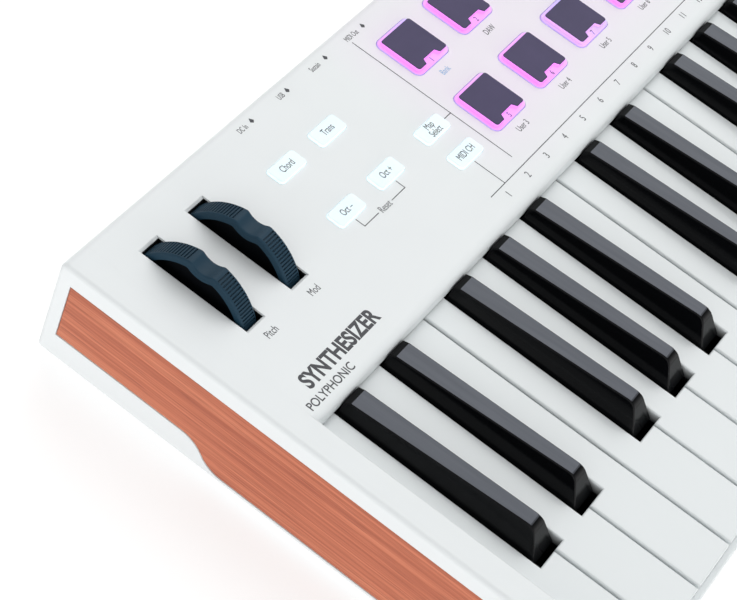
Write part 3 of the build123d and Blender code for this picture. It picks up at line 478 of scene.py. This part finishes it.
def flat_mesh(name, outlines, look=ink, body="case", up=INK_LIFT, thickness=INK_THICKNESS):
    """Thin flat shapes on the panel. Each outline is a list of places on the panel."""
    mesh = bmesh.new()
    for outline in outlines:
        corners = [mesh.verts.new(spot(x, y, up)) for x, y in outline]
        face = mesh.faces.new(corners)
        raised = bmesh.ops.extrude_face_region(mesh, geom=[face])
        moved = [v for v in raised["geom"] if isinstance(v, bmesh.types.BMVert)]
        bmesh.ops.translate(mesh, vec=(0, 0, thickness * MM), verts=moved)
    bmesh.ops.recalc_face_normals(mesh, faces=mesh.faces)
    data = bpy.data.meshes.new(name)
    mesh.to_mesh(data)
    mesh.free()
    data.materials.append(look.material)
    piece = bpy.data.objects.new(name, data)
    bpy.context.collection.objects.link(piece)
    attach(piece, body)


def stroke(start, end, width):
    """Corners of a straight line of some width along X or Y."""
    (x0, y0), (x1, y1) = start, end
    half = width / 2
    x0, x1 = min(x0, x1) - half, max(x0, x1) + half
    y0, y1 = min(y0, y1) - half, max(y0, y1) + half
    return [(x0, y0), (x1, y0), (x1, y1), (x0, y1)]


LINE = 0.32
LINES = [
    # bracket that joins the octave buttons
    ((79.5, 167.4), (79.5, 163.5)), ((79.5, 163.5), (88.2, 163.5)),
    ((97.2, 163.5), (105.7, 163.5)), ((105.7, 163.5), (105.7, 167.4)),
    # frame round the pads and the row of numbers
    ((149.9, 217.1), (149.9, 144.0)), ((145.6, 171.8), (149.9, 171.8)),
    ((136.8, 152.4), (136.8, 138.9)), ((126.9, 138.9), (349.0, 138.9)),
    ((282.0, 217.1), (282.0, 144.0)),
]
flat_mesh("printed_lines", [stroke(start, end, LINE) for start, end in LINES])

CAPTION = 4.2
FIRST_NUMBER, NUMBER_STEP, NUMBER_ROW = 133.4, 13.94, 135.0
for number in range(1, 17):
    label(f"number_{number}", str(number), FIRST_NUMBER + NUMBER_STEP * (number - 1), NUMBER_ROW, CAPTION)

BUTTON_WORDS = {
    "chord_button": "Chord", "transpose_button": "Trans", "octave_down_button": "Oct –",
    "octave_up_button": "Oct +", "map_button": "Map\nSelect", "channel_button": "MIDI CH",
}
for node_name, words in BUTTON_WORDS.items():
    label(node_name + "_word", words, *place_on(node_name), 4.1, body=node_name,
          up=top_of(node_name) + INK_LIFT, squeeze=0.66)

label("pitch_word", "Pitch", 17.2, 159.7, CAPTION, squeeze=0.7)
label("mod_word", "Mod", 42.5, 159.8, CAPTION, squeeze=0.68)
label("reset_word", "Reset", 92.7, 163.5, CAPTION, squeeze=0.68)
label("name_word", "SYNTHESIZER", 29.0, 139.5, 8.2, bold_ink, squeeze=0.84, weight=0.28)
label("name_line", "POLYPHONIC", 14.0, 132.8, 4.6, bold_ink, squeeze=0.9, weight=0.04)

REAR_WORDS = [("power", "DC In", 84.0), ("data", "USB", 107.7),
              ("pedal", "Sustain", 129.7), ("midi", "MIDI Out", 154.2)]
REAR_ROW = 219.4
LETTER_HALF = 0.7
ARROW = ((-1.0, 0.0), (0.0, -0.9), (1.0, 0.0), (0.0, 1.6))
for mark, words, along in REAR_WORDS:
    label(f"{mark}_word", words, along - 1.6, REAR_ROW, 3.3, squeeze=0.6)
    arrow_middle = along + len(words) * LETTER_HALF + 0.6
    flat_mesh(f"{mark}_arrow", [[(arrow_middle + x, REAR_ROW + y) for x, y in ARROW]])

PAD_WORDS = ["Bank", "DAW", "User 1", "User 2", "User 3", "User 4", "User 5", "User 6"]
WORD_BELOW, DIGIT_BELOW = 15.3, 8.9
for number, (pad, words) in enumerate(zip(PADS, PAD_WORDS), 1):
    pad_along, pad_back = place_on(pad)
    word_ink = blue_ink if number == 1 else ink
    label(f"{pad}_word", words, pad_along, pad_back - WORD_BELOW, 3.8, word_ink, squeeze=0.68)
    label(f"{pad}_digit", str(number), pad_along, pad_back - DIGIT_BELOW, 3.4, pad_ink, body=pad,
          up=PAD_TAB, weight=0.03)

# pale marks in the dish of each knob and across the saddle of each fader cap
MARK_WIDTH = 0.7
KNOB_SHOULDER = 2.6
DISH_FLOOR = 0.28
for knob_node in KNOBS + ["main_encoder_knob"]:
    knob_along, knob_back = place_on(knob_node)
    reach = (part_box(knob_node)[1].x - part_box(knob_node)[0].x) / 2 / MM - KNOB_SHOULDER
    pointer = stroke((knob_along, knob_back + reach * 0.35), (knob_along, knob_back + reach), MARK_WIDTH)
    flat_mesh(f"{knob_node}_mark", [pointer], mark_paint, knob_node, top_of(knob_node) - DISH_FLOOR, 0.04)
CAP_MARK_HALF = 3.9
CAP_SADDLE = 6.84
cap_back = place_on("fader_caps")[1]
cap_marks = [stroke((along - CAP_MARK_HALF, cap_back), (along + CAP_MARK_HALF, cap_back), MARK_WIDTH)
             for along in (place_on(n)[0] for n in KNOBS)]
flat_mesh("fader_marks", cap_marks, mark_paint, "fader_caps", CAP_SADDLE, 0.05)

# a plain picture of levels on the screen: bars over a rule, and a heading
LEVELS = (7.0, 11.5, 9.0, 14.0, 5.5, 12.0, 8.0, 10.0)
FIRST_BAR, BAR_STEP, BAR_FOOT, BAR_WIDTH = -21.0, 6.0, -9.0, 2.4
screen_along, screen_back = place_on("screen_window")


def screen_stroke(start, end, width):
    """A stroke placed from the middle of the screen."""
    (x0, y0), (x1, y1) = start, end
    return stroke((screen_along + x0, screen_back + y0), (screen_along + x1, screen_back + y1), width)


picture = [screen_stroke((FIRST_BAR + BAR_STEP * n, BAR_FOOT), (FIRST_BAR + BAR_STEP * n, BAR_FOOT + level),
                         BAR_WIDTH) for n, level in enumerate(LEVELS)]
picture += [screen_stroke((-22.5, -12.0), (22.5, -12.0), 0.5),
            screen_stroke((-22.5, 10.5), (-4.0, 10.5), 1.6)]
flat_mesh("screen_levels", picture, display, up=top_of("screen_window") + 0.01)

# ---- Floor, light and camera ----------------------------------------------
SPREAD = 30.0
floor_mesh = bpy.data.meshes.new("floor")
floor_mesh.from_pydata([(x * SPREAD, y * SPREAD, 0) for x, y in ((-1, -1), (1, -1), (1, 1), (-1, 1))],
                       [], [(0, 1, 2, 3)])
floor = bpy.data.objects.new("floor", floor_mesh)
bpy.context.collection.objects.link(floor)
WHITE = (1, 1, 1, 1)
floor_look = Look("floor_paper", (0.45, 0.45, 0.45, 1), 0.8, Emission_Color=WHITE, Emission_Strength=0.66)
floor_look.grain(floor_look.noise(300.0), 0.05, 0.0002)
floor_mesh.materials.append(floor_look.material)

world = bpy.data.worlds.new("studio")
bpy.context.scene.world = world
world.use_nodes = True
sky = world.node_tree
backdrop = sky.nodes["Background"]
direction = sky.nodes.new("ShaderNodeTexCoord").outputs["Generated"]


def sky_band(toward, low, high, weak, strong):
    """Radiance that grows with the cosine to a direction."""
    cosine = sky.nodes.new("ShaderNodeVectorMath")
    cosine.operation = "DOT_PRODUCT"
    cosine.inputs[1].default_value = Vector(toward).normalized()
    sky.links.new(direction, cosine.inputs[0])
    band = sky.nodes.new("ShaderNodeMapRange")
    band.interpolation_type = "SMOOTHSTEP"
    set_range(band, low, high, weak, strong)
    sky.links.new(cosine.outputs["Value"], band.inputs["Value"])
    return band.outputs["Result"]


def sky_sum(a, b):
    node = sky.nodes.new("ShaderNodeMath")
    sky.links.new(a, node.inputs[0])
    sky.links.new(b, node.inputs[1])
    return node.outputs[0]


# even light that is weaker overhead, a large soft box to the right, and fills from the left and the front
even = sky_band((0, 0, 1), 0.0, 0.6, 0.92, 0.27)
soft_box = sky_band((0.66, 0.18, 0.73), 0.78, 0.97, 0.0, 2.3)
fill = sky_band((-0.93, -0.35, 0.08), 0.2, 0.9, 0.0, 0.8)
front_fill = sky_band((0.1, -1.0, 0.08), 0.55, 0.95, 0.0, 0.65)
radiance = sky_sum(sky_sum(sky_sum(even, soft_box), fill), front_fill)
# behind the object the sky is plain white
seen = sky.nodes.new("ShaderNodeLightPath").outputs["Is Camera Ray"]
strength = sky.nodes.new("ShaderNodeMix")
sky.links.new(seen, strength.inputs[0])
sky.links.new(radiance, strength.inputs[2])
strength.inputs[3].default_value = 1.0
sky.links.new(strength.outputs[0], backdrop.inputs["Strength"])
backdrop.inputs["Color"].default_value = WHITE
bpy.context.scene.view_settings.view_transform = "Standard"

# the photographer's place, with the camera held at a slant
LENS = 110.2
EYE = Vector((-0.86024, -0.09452, 0.61073))
FORWARD = Vector((0.64772, 0.16841, -0.74303)).normalized()
RIGHTWARD = Vector((0.53681, -0.79295, 0.28822)).normalized()
camera_data = bpy.data.cameras.new("camera")
camera_data.lens = LENS
camera_data.clip_start = 0.05
camera_data.clip_end = 50.0
camera = bpy.data.objects.new("camera", camera_data)
bpy.context.collection.objects.link(camera)
camera_up = RIGHTWARD.cross(FORWARD)
turn = Matrix((RIGHTWARD, camera_up, -FORWARD)).transposed().to_4x4()
camera.matrix_world = Matrix.Translation(EYE) @ turn
bpy.context.scene.camera = camera
